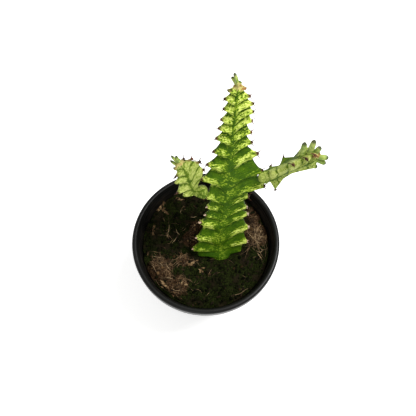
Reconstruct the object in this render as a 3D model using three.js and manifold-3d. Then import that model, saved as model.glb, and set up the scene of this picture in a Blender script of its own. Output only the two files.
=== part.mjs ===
// Potted variegated African milk tree: a winged, toothed succulent stem with two side branches, growing in
// potting soil in a round nursery pot. Millimetres, +Z up. The origin is the centre of the pot's underside,
// and -Y is the side that faces the viewer.
import * as THREE from 'three';
import { mergeVertices } from 'three/addons/utils/BufferGeometryUtils.js';
import Module from 'manifold-3d';

const wasm = await Module();
wasm.setup();

// Pot
const potHeight = 92;
const rimRadius = 55;
const rimWidth = 4;
const rimDrop = 10;
const wallTopRadius = 51.3;
const wallBaseRadius = 40.5;
const wallThickness = 1.6;
const footWidth = 3;
const floorRise = 3;
const padRadius = 18;
const padSlope = 2.5;
const drainHoleCount = 8;
const drainHoleRadius = 3.5;
const drainCircleRadius = 29;
const footNotchCount = 8;
const footNotchWidth = 7;
const footNotchHeight = 1.6;
const potSides = 48;

// Soil
const soilLevel = 80;
const soilBump = 0.8;
const soilEdgeDip = 2.6;
const soilEdgeWidth = 9;
const soilSides = 48;
const soilRings = 13;
const stemClearing = 30;
const stemHollow = 0.9;
const seatGap = 0.3;

// Mounds of coir, peat and moss on the soil: place, radius and height
const mounds = [
  { x: -32, y: -21, radius: 10, height: 3.4 },
  { x: -18.5, y: -11, radius: 5, height: 2.6 },
  { x: -22, y: -32, radius: 9, height: 2.2 },
  { x: 38, y: 12, radius: 10, height: 2.8 },
  { x: 14, y: -29, radius: 15, height: 1.8 },
  { x: -35, y: 9, radius: 11, height: 1.6 },
  { x: -24, y: 33, radius: 8, height: 2 },
];

// Stem form
const notchDepth = 3;
const notchPlace = 0.68;
const notchPitch = 8;
const shoulderBend = 0.85;
const underBend = 1.5;
const pillowPlace = 0.12;
const pillowHeight = 0.85;
const ridgeSlope = 0.7;
const footCalm = 20;
const trunkRowPhases = [0, 0.34, 0.68, 0.86];
const trunkWingSteps = [0.22, 0.45, 0.7, 0.88];
const branchRowPhases = [0, 0.34, 0.68, 0.86];
const branchWingSteps = [0.35, 0.75];

// Spines stand in pairs on each tooth; the oldest, lowest teeth only have short pale knobs.
const spineLength = 2.6;
const spineRadius = 0.6;
const knobLength = 1.6;
const knobRadius = 0.85;
const spineSpread = 0.75;
const spineSink = 1.4;

// Main stem. A tooth is [distance along the stem, reach from its middle line]. On the young branches some teeth
// are plain swellings, with no notch above them and no spines. The groove after a rib lies halfway to the next
// rib, unless the rib has a share of its own.
const PLAIN = true;
const trunkLean = THREE.MathUtils.degToRad(18);
const trunkSideLean = 0.045;
const trunkLength = 148;
const stubRadius = 9;
const stubDepth = 24;
const trunkBase = new THREE.Vector3(11, -3.2, soilLevel);
const trunkAxis = new THREE.Vector3(trunkSideLean, Math.sin(trunkLean), Math.cos(trunkLean)).normalize();
const trunk = {
  curve: new THREE.LineCurve3(trunkBase, trunkBase.clone().addScaledVector(trunkAxis, trunkLength)),
  length: trunkLength,
  rowPhases: trunkRowPhases,
  wingSteps: trunkWingSteps,
  facing: new THREE.Vector3(1, 0, 0),
  spined: [56, 142],
  ribs: [
    {
      azimuth: -8,
      teeth: [[1, 16], [13, 19.5], [30, 18.5], [44, 16.5], [51, 15], [62, 15], [73.5, 24], [86.8, 20.8],
        [100, 16.3], [108, 11.8], [115.5, 10.5], [123.5, 10], [129.8, 10], [135, 9.3], [139.5, 7],
        [144, 4.4], [147, 1.6]],
    },
    {
      azimuth: 90,
      teeth: [[5, 13], [15, 16.5], [28, 17], [41, 16], [50, 14.5], [60, 15], [73, 19], [85, 18],
        [96, 14.5], [105, 12], [113, 11], [120.5, 10], [127.5, 9.5], [133, 8.5], [138.5, 7], [143, 5],
        [147, 1.6]],
    },
    {
      azimuth: 198,
      grooveShare: 0.4,
      teeth: [[-1.5, 18], [7, 22.5], [20, 20], [37, 18], [44, 14.5], [52, 13.5], [62, 14.5], [80, 18.5],
        [91.7, 15.2], [101.3, 11.5], [111.2, 10.5], [118.3, 9.5], [124.3, 8.5], [131.3, 7.5], [137.8, 7.5],
        [142.7, 6], [147, 1.6]],
    },
  ],
  leaves: [
    { along: 143, tip: [15, 45.1, 223.7], width: 3.4 },
    { along: 143, tip: [13.8, 45.4, 220.4], width: 2.2 },
    { along: 142, tip: [17.3, 43, 217.7], width: 2.4 },
  ],
};

// Side branches. Each swings out of the wing's edge just above a tooth and then turns upwards.
const branchLeft = {
  curve: new THREE.CubicBezierCurve3(
    new THREE.Vector3(-2, 13.5, 149.4),
    new THREE.Vector3(-12, 12, 143.5),
    new THREE.Vector3(-7.5, 17, 167.5),
    new THREE.Vector3(-17.5, 21, 174),
  ),
  length: 35,
  rowPhases: branchRowPhases,
  wingSteps: branchWingSteps,
  facing: new THREE.Vector3(0, -0.46, 0.89),
  spined: [0, 34],
  baseRadius: 3.4,
  ribs: [
    {
      azimuth: -66,
      teeth: [[0, 6.2], [6.8, 2.8, PLAIN], [12.3, 8, PLAIN], [16.5, 10.2], [24, 9.3, PLAIN], [28.3, 7],
        [32.7, 5, PLAIN], [34.8, 1.4]],
    },
    {
      azimuth: 66,
      teeth: [[0, 3.4], [8, 3.2, PLAIN], [16, 5, PLAIN], [25.5, 11.6], [29, 11.4], [31.2, 8.2], [33, 4.2],
        [34.8, 1.4]],
    },
    { azimuth: 180, teeth: [[0, 3.4], [7, 5], [12, 8], [18, 9], [23.5, 9], [28.5, 7.5], [32, 4.5], [34.8, 1.4]] },
  ],
  leaves: [
    { along: 29, tip: [-20, 22, 179], width: 2.8 },
    { along: 31, tip: [-17.2, 21.6, 179.4], width: 2.8 },
    { along: 27, tip: [-20.9, 21.1, 174.7], width: 2.6 },
    { along: 25, tip: [-19.6, 20.2, 167.1], width: 2.4 },
    { along: 32, tip: [-15.7, 21.2, 176.7], width: 2.4 },
  ],
};
const branchRight = {
  curve: new THREE.CubicBezierCurve3(
    new THREE.Vector3(36.6, 17.3, 160.1),
    new THREE.Vector3(48.7, 21.2, 163.7),
    new THREE.Vector3(54.1, 16.9, 179.9),
    new THREE.Vector3(65.2, 19.2, 186.4),
  ),
  length: 39.5,
  rowPhases: branchRowPhases,
  wingSteps: branchWingSteps,
  facing: new THREE.Vector3(-0.18, -0.45, 0.87),
  spined: [0, 39],
  baseRadius: 4.2,
  ribs: [
    {
      azimuth: 0,
      teeth: [[0, 4.2], [8, 7.5, PLAIN], [17, 7, PLAIN], [26.5, 8.2], [33.5, 6.5], [37.5, 4.5], [39.3, 1.4]],
    },
    {
      azimuth: 115,
      teeth: [[0, 4.2], [2.5, 10.5], [9.8, 5.8, PLAIN], [17, 4.6, PLAIN], [24.5, 5.7, PLAIN], [31.5, 7, PLAIN],
        [39.3, 1.4]],
    },
    {
      azimuth: 245,
      teeth: [[0, 4.2], [5.5, 5.2], [14.8, 7.2], [22.5, 4.6, PLAIN], [28.5, 8, PLAIN], [35, 6, PLAIN], [39.3, 1.4]],
    },
  ],
  leaves: [
    { along: 27, tip: [55.3, 22.5, 193.4], width: 3.4 },
    { along: 31, tip: [60.3, 22.5, 195.8], width: 3.4 },
    { along: 34, tip: [64.5, 20.8, 191.3], width: 3.2 },
    { along: 35, tip: [69.8, 16.6, 185.7], width: 3.2 },
    { along: 34, tip: [69.2, 15.3, 181.2], width: 3 },
    { along: 29, tip: [65.2, 15, 177], width: 3 },
    { along: 33, tip: [60.1, 23.7, 186.8], width: 3 },
  ],
};

const leafThickness = 1.3;
const leafSides = 6;
const leafRows = 4;

function toSolid(geometry) {
  const bare = new THREE.BufferGeometry();
  bare.setAttribute('position', geometry.getAttribute('position'));
  bare.setIndex(geometry.getIndex());
  const merged = mergeVertices(bare, 1e-4);
  return new wasm.Manifold(new wasm.Mesh({
    numProp: 3,
    vertProperties: merged.getAttribute('position').array,
    triVerts: new Uint32Array(merged.getIndex().array),
  }));
}

function toGeometry(solid) {
  const { vertProperties, triVerts } = solid.getMesh();
  const geometry = new THREE.BufferGeometry();
  geometry.setAttribute('position', new THREE.BufferAttribute(vertProperties, 3));
  geometry.setIndex(new THREE.BufferAttribute(triVerts, 1));
  geometry.computeVertexNormals();
  return geometry;
}

// Closes a stack of rings, each with the same number of points, into a solid with a fan at either end.
function ringSolid(rings) {
  const size = rings[0].length;
  const centre = (ring) => ring.reduce((sum, point) => sum.add(point), new THREE.Vector3()).divideScalar(size);
  const points = [...rings.flat(), centre(rings[0]), centre(rings.at(-1))];
  const bottom = points.length - 2;
  const top = points.length - 1;
  const topStart = (rings.length - 1) * size;
  const index = [];
  for (let row = 0; row < rings.length - 1; row += 1) {
    for (let i = 0; i < size; i += 1) {
      const a = row * size + i;
      const b = row * size + (i + 1) % size;
      index.push(a, b, b + size, a, b + size, a + size);
    }
  }
  for (let i = 0; i < size; i += 1) {
    const next = (i + 1) % size;
    index.push(bottom, next, i, top, topStart + i, topStart + next);
  }
  const geometry = new THREE.BufferGeometry().setFromPoints(points);
  geometry.setIndex(index);
  return toSolid(geometry);
}

// The stem's middle point at a distance along it, with two directions across it.
function frameAt(stem, along) {
  const at = along / stem.length;
  const tangent = stem.curve.getTangent(at);
  const across = stem.facing.clone().addScaledVector(tangent, -stem.facing.dot(tangent)).normalize();
  return { centre: stem.curve.getPoint(at), tangent, across, side: tangent.clone().cross(across) };
}

function placeAcross(stem, along, x, y) {
  const { centre, across, side } = frameAt(stem, along);
  return centre.clone().addScaledVector(across, x).addScaledVector(side, y);
}

// The rib's edge at a tooth phase: whole phases are teeth. Above a tooth is a slanting shoulder, then a notch,
// then a hollow that sweeps out under the next tooth.
function edgeAt(rib, phase) {
  const low = Math.min(Math.floor(phase), rib.teeth.length - 2);
  const part = phase - low;
  const [alongLow, reachLow, plainLow] = rib.teeth[low];
  const [alongHigh, reachHigh, plainHigh] = rib.teeth[low + 1];
  const along = THREE.MathUtils.lerp(alongLow, alongHigh, part);
  const fullReach = THREE.MathUtils.lerp(reachLow, reachHigh, part);
  if (plainLow || plainHigh) {
    return { along, reach: fullReach, fullReach };
  }
  const least = Math.min(reachLow, reachHigh);
  const depth = low > 0 ? notchDepth : 0;
  const notchReach = least - depth * Math.min(1, (alongHigh - alongLow) / notchPitch, least / notchPitch);
  const reach = part < notchPlace
    ? THREE.MathUtils.lerp(reachLow, notchReach, (part / notchPlace) ** shoulderBend)
    : THREE.MathUtils.lerp(notchReach, reachHigh, ((part - notchPlace) / (1 - notchPlace)) ** underBend);
  return { along, reach, fullReach };
}

// Distance from the middle line to the bottom of the groove between two wings. It fills out at the base.
function grooveDepth(reach, along, baseRadius) {
  const groove = Math.min(2.4 + 0.2 * reach, 0.8 * reach);
  const fill = Math.max(0, 1 - along / 14) ** 2;
  return THREE.MathUtils.lerp(groove, Math.max(groove, Math.min(baseRadius, reach)), fill);
}

function stemRing(stem, phase) {
  const count = stem.ribs.length;
  const radians = stem.ribs.map((rib) => THREE.MathUtils.degToRad(rib.azimuth));
  const edges = stem.ribs.map((rib) => edgeAt(rib, phase));
  const baseRadius = stem.baseRadius ?? stubRadius;
  const grooves = edges.map((edge, k) => {
    const next = edges[(k + 1) % count];
    const meanReach = (edge.fullReach + next.fullReach) / 2;
    const meanAlong = (edge.along + next.along) / 2;
    const radius = grooveDepth(meanReach, meanAlong, baseRadius);
    const turn = (radians[(k + 1) % count] - radians[k] + 2 * Math.PI) % (2 * Math.PI);
    const share = stem.ribs[k].grooveShare ?? 0.5;
    const drop = ridgeSlope * Math.max(0, meanReach - radius) * THREE.MathUtils.smoothstep(meanAlong, 0, footCalm);
    return { radius, turnTo: turn * share, turnOn: turn * (1 - share), along: meanAlong - drop };
  });
  const ring = [];
  stem.ribs.forEach((rib, k) => {
    const out = new THREE.Vector2(Math.cos(radians[k]), Math.sin(radians[k]));
    const wave = 0.5 + 0.5 * Math.cos(2 * Math.PI * (phase - pillowPlace));
    const edge = edges[k];
    const tipHalf = 0.8 + 0.04 * edge.reach;
    const wingPoint = (groove, step, sign) => {
      const turn = sign > 0 ? groove.turnTo : groove.turnOn;
      const width = groove.radius * Math.sin(turn);
      const inner = groove.radius * Math.cos(turn);
      const swell = pillowHeight * (0.3 + 0.7 * Math.sin(Math.PI * step)) * (wave - 0.5);
      const half = tipHalf + (width - tipHalf) * (1 - step) ** 1.6 + swell * Math.min(1, edge.reach / 9);
      const reach = THREE.MathUtils.lerp(inner, edge.reach, step);
      const along = THREE.MathUtils.lerp(groove.along, edge.along, step);
      return placeAcross(stem, along, out.x * reach - sign * out.y * half, out.y * reach + sign * out.x * half);
    };
    const before = grooves[(k + count - 1) % count];
    const after = grooves[k];
    ring.push(...stem.wingSteps.map((step) => wingPoint(before, step, -1)));
    ring.push(wingPoint(before, 1, -1), wingPoint(after, 1, 1));
    ring.push(...stem.wingSteps.toReversed().map((step) => wingPoint(after, step, 1)));
    const middle = radians[k] + after.turnTo;
    ring.push(placeAcross(stem, after.along, after.radius * Math.cos(middle), after.radius * Math.sin(middle)));
  });
  return ring;
}

// A pair of spines that spread to either side of the tooth's tip.
function spinePair(stem, rib, [along, reach]) {
  const { centre, tangent, across, side } = frameAt(stem, along);
  const azimuth = THREE.MathUtils.degToRad(rib.azimuth);
  const out = across.clone().multiplyScalar(Math.cos(azimuth)).addScaledVector(side, Math.sin(azimuth));
  const lateral = tangent.clone().cross(out);
  const worn = along < stem.spined[0];
  const length = worn ? knobLength : spineLength;
  const radius = worn ? knobRadius : spineRadius;
  return [-1, 1].map((sign) => {
    const direction = out.clone().addScaledVector(lateral, sign * spineSpread).normalize();
    const root = centre.clone().addScaledVector(out, reach - spineSink).addScaledVector(lateral, sign * 0.35);
    const cone = new THREE.ConeGeometry(radius, length + spineSink, 4);
    cone.translate(0, (length + spineSink) / 2, 0);
    cone.applyQuaternion(new THREE.Quaternion().setFromUnitVectors(new THREE.Vector3(0, 1, 0), direction));
    cone.translate(root.x, root.y, root.z);
    return toSolid(cone);
  });
}

// A small fleshy leaf: a flattened finger from the stem's middle to its rounded tip.
function leafSolid(stem, leaf) {
  const root = frameAt(stem, leaf.along).centre;
  const tip = new THREE.Vector3(...leaf.tip);
  const direction = tip.clone().sub(root);
  const length = direction.length();
  direction.normalize();
  const flat = stem.facing.clone().cross(direction).normalize();
  const thick = direction.clone().cross(flat);
  const rings = [];
  for (let row = 0; row <= leafRows; row += 1) {
    const at = row / leafRows;
    const spread = 0.55 + 0.45 * Math.sin(Math.PI * Math.min(1, at * 0.8)) - 0.4 * at ** 14;
    const ring = [];
    for (let i = 0; i < leafSides; i += 1) {
      const angle = (2 * Math.PI * i) / leafSides;
      ring.push(root.clone()
        .addScaledVector(direction, at * length)
        .addScaledVector(flat, spread * (leaf.width / 2) * Math.cos(angle))
        .addScaledVector(thick, spread * (leafThickness / 2) * Math.sin(angle)));
    }
    rings.push(ring);
  }
  return ringSolid(rings);
}

function stemBody(stem) {
  const rings = [];
  const last = stem.ribs[0].teeth.length - 1;
  for (let tooth = 0; tooth < last; tooth += 1) {
    rings.push(...stem.rowPhases.map((part) => stemRing(stem, tooth + part)));
  }
  rings.push(stemRing(stem, last));
  return rings;
}

function dressStem(stem, body) {
  const spines = stem.ribs.flatMap((rib) => rib.teeth.slice(1, -1)
    .filter(([along, , plain]) => along < stem.spined[1] && !plain)
    .flatMap((tooth) => spinePair(stem, rib, tooth)));
  const leaves = stem.leaves.map((leaf) => leafSolid(stem, leaf));
  return [...spines, ...leaves].reduce((solid, piece) => solid.add(piece), body);
}

function ball(centre, radius) {
  const sphere = new THREE.SphereGeometry(radius, 12, 8);
  sphere.translate(centre.x, centre.y, centre.z);
  return toSolid(sphere);
}

// The buried stub is a plain cylinder along the stem's axis, with the winged rows above it.
function trunkSolid() {
  const rings = stemBody(trunk);
  const { tangent } = frameAt(trunk, 0);
  const stubRing = (depth) => rings[0].map((point) => {
    const outwards = point.clone().sub(trunkBase);
    outwards.addScaledVector(tangent, -outwards.dot(tangent)).setLength(stubRadius);
    return trunkBase.clone().add(outwards).addScaledVector(tangent, -depth);
  });
  const underside = rings[0].map((point) => {
    const height = point.clone().sub(trunkBase).dot(tangent);
    const outwards = point.clone().sub(trunkBase).addScaledVector(tangent, -height).setLength(stubRadius);
    return trunkBase.clone().add(outwards).addScaledVector(tangent, height);
  });
  const body = ringSolid([stubRing(stubDepth), underside, ...rings]);
  const seats = [branchLeft, branchRight].map((branch) => ball(branch.curve.getPoint(0), branch.baseRadius + seatGap));
  return seats.reduce((solid, seat) => solid.subtract(seat), dressStem(trunk, body));
}

function branchSolid(branch) {
  return dressStem(branch, ringSolid(stemBody(branch))).add(ball(branch.curve.getPoint(0), branch.baseRadius));
}

function wallRadiusAt(height) {
  return wallBaseRadius + (wallTopRadius - wallBaseRadius) * height / (potHeight - rimDrop) - wallThickness;
}

const floorTop = floorRise + wallThickness;

function potSolid() {
  const bandBottom = potHeight - rimDrop;
  const outline = [
    [0, 0], [padRadius, 0], [padRadius + padSlope, floorRise],
    [wallBaseRadius - footWidth, floorRise], [wallBaseRadius - footWidth, 0], [wallBaseRadius, 0],
    [wallTopRadius, bandBottom], [rimRadius - 0.9, bandBottom + 0.5], [rimRadius, bandBottom + 1.6],
    [rimRadius, potHeight - 1.4], [rimRadius - 0.5, potHeight - 0.4], [rimRadius - 1.6, potHeight],
    [rimRadius - rimWidth + 0.7, potHeight - 0.3], [rimRadius - rimWidth, potHeight - 1.4],
    [wallRadiusAt(bandBottom), bandBottom], [wallRadiusAt(floorTop + 1), floorTop + 1],
    [wallRadiusAt(floorTop) - 1, floorTop], [padRadius + padSlope, floorTop], [padRadius, wallThickness],
    [0, wallThickness],
  ].map(([radius, height]) => new THREE.Vector2(radius, height));
  const turned = new THREE.LatheGeometry(outline, potSides).rotateX(Math.PI / 2);
  let solid = toSolid(turned);
  for (let i = 0; i < drainHoleCount; i += 1) {
    const hole = new THREE.CylinderGeometry(drainHoleRadius, drainHoleRadius, 4 * floorTop, 12).rotateX(Math.PI / 2);
    hole.translate(drainCircleRadius, 0, 0).rotateZ((2 * Math.PI * i) / drainHoleCount);
    solid = solid.subtract(toSolid(hole));
  }
  for (let i = 0; i < footNotchCount; i += 1) {
    const notch = new THREE.BoxGeometry(4 * footWidth, footNotchWidth, 2 * footNotchHeight);
    notch.translate(wallBaseRadius, 0, 0).rotateZ((2 * Math.PI * (i + 0.5)) / footNotchCount);
    solid = solid.subtract(toSolid(notch));
  }
  return solid;
}

// Lumpy top of the soil. It is calm round the stem, where the lowest lobes hang close over it.
function soilHeight(x, y) {
  const fromStem = Math.hypot(x - trunkBase.x, y - trunkBase.y);
  const calm = THREE.MathUtils.smoothstep(fromStem, stubRadius, stemClearing);
  const edge = soilRadiusAt(soilLevel) - Math.hypot(x, y);
  const dip = soilEdgeDip * Math.max(0, 1 - edge / soilEdgeWidth) ** 2;
  const ripple = Math.sin(0.31 * x + 1.1) * Math.cos(0.27 * y - 0.4) + 0.6 * Math.sin(0.62 * x - 0.49 * y);
  const piled = mounds.reduce((sum, mound) => {
    const near = 1 - Math.hypot(x - mound.x, y - mound.y) / mound.radius;
    return sum + mound.height * THREE.MathUtils.smoothstep(near, 0, 1);
  }, 0);
  return soilLevel - stemHollow * (1 - calm) + calm * soilBump * ripple + Math.min(1, calm * 2) * piled - dip;
}

function soilRadiusAt(height) {
  return wallRadiusAt(height) - seatGap - wallThickness * 0.1;
}

function soilSolid() {
  const profile = [
    [0, wallThickness + seatGap], [padRadius - 0.4, wallThickness + seatGap],
    [padRadius + padSlope, floorTop + seatGap + 0.2], [wallRadiusAt(floorTop) - 1.5, floorTop + seatGap],
    [soilRadiusAt(floorTop + 2), floorTop + 2],
  ];
  const turn = (i) => (2 * Math.PI * i) / soilSides;
  const rings = profile.slice(1).map(([radius, height]) => Array.from({ length: soilSides }, (_, i) => (
    new THREE.Vector3(radius * Math.cos(turn(i)), radius * Math.sin(turn(i)), height))));
  for (let row = soilRings; row > 0; row -= 1) {
    rings.push(Array.from({ length: soilSides }, (_, i) => {
      const radius = (soilRadiusAt(soilLevel - soilEdgeDip - 1) * row) / soilRings;
      const x = radius * Math.cos(turn(i));
      const y = radius * Math.sin(turn(i));
      return new THREE.Vector3(x, y, soilHeight(x, y));
    }));
  }
  const top = trunkBase.clone().addScaledVector(trunkAxis, stubDepth);
  const bottom = trunkBase.clone().addScaledVector(trunkAxis, -stubDepth - seatGap);
  const hole = new THREE.CylinderGeometry(stubRadius + seatGap, stubRadius + seatGap, bottom.distanceTo(top), 40);
  hole.applyQuaternion(new THREE.Quaternion().setFromUnitVectors(new THREE.Vector3(0, 1, 0), trunkAxis));
  const middle = bottom.clone().lerp(top, 0.5);
  hole.translate(middle.x, middle.y, middle.z);
  return ringSolid(rings).subtract(toSolid(hole));
}

const blackPlastic = new THREE.MeshStandardMaterial({ color: 0x17181a, roughness: 0.42, metalness: 0 });
const darkSoil = new THREE.MeshStandardMaterial({ color: 0x2a1c12, roughness: 0.95, metalness: 0 });
const stemGreen = new THREE.MeshStandardMaterial({ color: 0x6fa02c, roughness: 0.5, metalness: 0 });
const paleGreen = new THREE.MeshStandardMaterial({ color: 0xa2bd55, roughness: 0.5, metalness: 0 });

const plant = new THREE.Group();
function addPiece(name, solid, material) {
  const mesh = new THREE.Mesh(toGeometry(solid), material);
  mesh.name = name;
  plant.add(mesh);
}
addPiece('pot', potSolid(), blackPlastic);
addPiece('soil', soilSolid(), darkSoil);
addPiece('trunk', trunkSolid(), stemGreen);
addPiece('branch_left', branchSolid(branchLeft), paleGreen);
addPiece('branch_right', branchSolid(branchRight), paleGreen);

export default plant;
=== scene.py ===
# %% [markdown]
# # A potted variegated African milk tree
# The plant is a young succulent: an upright stem with three toothed wings, two side branches, a round black
# nursery pot and the lumpy soil it grows in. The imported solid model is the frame. It gives every size and
# place, and each piece below is built over it, in metres, with +Z up and -Y towards the viewer.

# %% Load the frame
import math
import random
import bpy
import numpy as np
from mathutils import Matrix, Vector, noise


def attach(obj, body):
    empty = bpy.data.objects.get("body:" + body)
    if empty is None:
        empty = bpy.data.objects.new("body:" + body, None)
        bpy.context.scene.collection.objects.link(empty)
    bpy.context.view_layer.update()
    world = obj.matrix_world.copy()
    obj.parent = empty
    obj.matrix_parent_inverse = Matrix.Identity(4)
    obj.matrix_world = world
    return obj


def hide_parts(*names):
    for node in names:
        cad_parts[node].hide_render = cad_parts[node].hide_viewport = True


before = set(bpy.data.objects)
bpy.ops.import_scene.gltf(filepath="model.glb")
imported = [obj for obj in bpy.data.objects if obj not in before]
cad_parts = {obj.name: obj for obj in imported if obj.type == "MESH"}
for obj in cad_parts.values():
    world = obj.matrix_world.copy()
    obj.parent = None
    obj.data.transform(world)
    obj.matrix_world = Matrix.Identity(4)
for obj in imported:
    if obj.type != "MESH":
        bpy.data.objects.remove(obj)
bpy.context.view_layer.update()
MM = 0.001
print("solids:", sorted(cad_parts))

# %% [markdown]
# ## Camera
# The photograph looks down on the pot from just in front of it, from so near that the top of the plant leans
# away from the middle of the picture. A level camera could be tilted by hand until the rim's oval fits. Here
# its place was worked out from the rim's round outline, and it is simply set.

# %% Camera
camera_data = bpy.data.cameras.new("camera")
camera_data.sensor_width = 36
camera_data.lens = 38.94
camera_data.clip_start = 0.01
camera = bpy.data.objects.new("camera", camera_data)
camera.location = (0.00163, -0.10661, 0.40958)
camera.rotation_euler = (math.radians(22.485), 0, 0)
bpy.context.scene.collection.objects.link(camera)
bpy.context.scene.camera = camera
print("camera is", round(camera.location.z, 3), "m above the floor")

# %% [markdown]
# ## Floor and light
# The plant stands on a white sweep under wide, soft studio light, so it has almost no shadow. An even sky does
# most of this. The camera sees plain white paper in its place. A lamp high on the right gives the wings their
# form, and a weak one in front lifts the pot. The floor glows faintly, so that it stays as white as the paper.

# %% Floor
def choose(piece):
    """Make this the one selected object, because an operator acts on all that is selected."""
    bpy.ops.object.select_all(action="DESELECT")
    piece.select_set(True)
    bpy.context.view_layer.objects.active = piece


bpy.ops.object.select_all(action="DESELECT")
bpy.ops.mesh.primitive_plane_add(size=6, location=(0, 0, 0))
floor = bpy.context.object
floor.name = "floor"
floor_paint = bpy.data.materials.new("white sweep")
floor_paint.use_nodes = True
floor_skin = floor_paint.node_tree.nodes["Principled BSDF"]
floor_skin.inputs["Base Color"].default_value = (0.9, 0.9, 0.89, 1)
floor_skin.inputs["Roughness"].default_value = 0.9
floor_skin.inputs["Emission Color"].default_value = (1, 1, 1, 1)
floor_skin.inputs["Emission Strength"].default_value = 0.5
floor.data.materials.append(floor_paint)

# %% Light
sky_strength = 0.55
paper_strength = 1.0
world = bpy.data.worlds.new("studio")
world.use_nodes = True
studio = world.node_tree
sky = studio.nodes["Background"]
paper = studio.nodes.new("ShaderNodeBackground")
for backdrop, strength in ((sky, sky_strength), (paper, paper_strength)):
    backdrop.inputs["Color"].default_value = (1, 1, 1, 1)
    backdrop.inputs["Strength"].default_value = strength
light_path = studio.nodes.new("ShaderNodeLightPath")
either = studio.nodes.new("ShaderNodeMixShader")
studio.links.new(light_path.outputs["Is Camera Ray"], either.inputs[0])
studio.links.new(sky.outputs[0], either.inputs[1])
studio.links.new(paper.outputs[0], either.inputs[2])
studio.links.new(either.outputs[0], studio.nodes["World Output"].inputs["Surface"])
bpy.context.scene.world = world
bpy.context.scene.view_settings.view_transform = "Standard"


def soft_lamp(name, size, watts, place, target):
    """A square lamp that faces its target."""
    lamp = bpy.data.lights.new(name, "AREA")
    lamp.size = size
    lamp.energy = watts
    holder = bpy.data.objects.new(name, lamp)
    holder.location = place
    holder.rotation_euler = (Vector(target) - Vector(place)).to_track_quat("-Z", "Y").to_euler()
    bpy.context.scene.collection.objects.link(holder)
    return holder


soft_lamp("overhead", 0.3, 8.0, (0.36, 0.1, 0.9), (0, 0, 0.1))
soft_lamp("front", 0.4, 1.6, (-0.2, -0.8, 0.6), (0, 0, 0.1))
print("two lamps, and a sky at", sky_strength)

# %% [markdown]
# ## A way to write materials
# A finish is a small network of nodes. Clicking it together is fine for one, but here each is written as
# a sum: `Wire` stands for what comes out of a node, and adding or multiplying wires adds the Math nodes.
# `Finish` holds one material, and its `node` method makes every other node.

# %% Wires
class Wire:
    """What comes out of a node. Arithmetic on it adds Math nodes."""

    def __init__(self, finish, socket):
        self.finish = finish
        self.socket = socket

    def math(self, operation, first, second):
        return self.finish.node("ShaderNodeMath", {"operation": operation}, {0: first, 1: second})

    def __add__(self, other):
        return self.math("ADD", self, other)

    def __radd__(self, other):
        return self.math("ADD", other, self)

    def __sub__(self, other):
        return self.math("SUBTRACT", self, other)

    def __rsub__(self, other):
        return self.math("SUBTRACT", other, self)

    def __mul__(self, other):
        return self.math("MULTIPLY", self, other)

    def __rmul__(self, other):
        return self.math("MULTIPLY", other, self)


# %% Finishes
class Finish:
    """One material, with its Principled shader as skin. Values that never change are set on its sockets."""

    def __init__(self, name, **constants):
        self.material = bpy.data.materials.new(name)
        self.material.use_nodes = True
        self.tree = self.material.node_tree
        self.skin = self.tree.nodes["Principled BSDF"]
        for socket, value in constants.items():
            self.skin.inputs[socket.replace("_", " ")].default_value = value

    def feed(self, socket, value):
        if isinstance(value, Wire):
            self.tree.links.new(value.socket, socket)
        else:
            socket.default_value = value

    def node(self, kind, settings=None, inputs=None, output=0):
        made = self.tree.nodes.new(kind)
        for key, value in (settings or {}).items():
            if key == "stops":
                ramp = made.color_ramp
                while len(ramp.elements) < len(value):
                    ramp.elements.new(0.5)
                for stop, (place, colour) in zip(ramp.elements, value):
                    stop.position = place
                    stop.color = (*colour, 1)
            else:
                setattr(made, key, value)
        for key, value in (inputs or {}).items():
            self.feed(made.inputs[key], value)
        return Wire(self, made.outputs[output])

    def object_place(self):
        return self.node("ShaderNodeTexCoord", output="Object")

    def stretched(self, vector, scale):
        return self.node("ShaderNodeMapping", inputs={"Vector": vector, "Scale": scale})

    def cloud(self, vector, scale, detail=3.0, roughness=0.55):
        """Soft noise from 0 to 1."""
        values = {"Vector": vector, "Scale": scale, "Detail": detail, "Roughness": roughness}
        return self.node("ShaderNodeTexNoise", inputs=values)

    def attribute(self, name):
        return self.node("ShaderNodeAttribute", {"attribute_name": name}, output="Fac")

    def step(self, value, low, high):
        """0 below low, 1 above high, and a smooth rise between them."""
        values = {"Value": value, "From Min": low, "From Max": high}
        return self.node("ShaderNodeMapRange", {"interpolation_type": "SMOOTHSTEP"}, values)

    def mix(self, share, first, second):
        """The first colour where share is 0, and the second where it is 1."""
        colours = [c if isinstance(c, Wire) else (*c, 1) for c in (first, second)]
        values = {0: share, 6: colours[0], 7: colours[1]}
        return self.node("ShaderNodeMix", {"data_type": "RGBA", "clamp_factor": True}, values, output=2)

    def ramp(self, value, *stops):
        return self.node("ShaderNodeValToRGB", {"stops": stops}, {"Fac": value})

    def bump(self, height, strength, distance):
        values = {"Height": height, "Strength": strength, "Distance": distance}
        return self.node("ShaderNodeBump", inputs=values)

    def skin_feeds(self, **wires):
        for socket, value in wires.items():
            self.feed(self.skin.inputs[socket.replace("_", " ")], value)
        return self.material


print("a material can now be written as a sum")

# %% [markdown]
# ## Pot
# A nursery pot is moulded from thin black plastic: a tapering wall, a thick rolled rim, a raised floor
# with drain holes and a foot with notches that let the water out. It could be spun from a profile in one go.
# Extruding a circle ring by ring is as quick and gives even quads, so its outline is walked from the middle of
# the underside, up the outside, over the rim and down the inside.

# %% Pot sizes, in millimetres
pot_height = 92
rim_radius = 55
rim_width = 4
rim_drop = 10
wall_top_radius = 51.3
wall_base_radius = 40.5
wall_thickness = 1.6
foot_width = 3
floor_rise = 3
pad_radius = 18
pad_slope = 2.5
band_bottom = pot_height - rim_drop
floor_top = floor_rise + wall_thickness


def wall_radius(height):
    """Inner radius of the wall."""
    return wall_base_radius + (wall_top_radius - wall_base_radius) * height / band_bottom - wall_thickness


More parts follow.
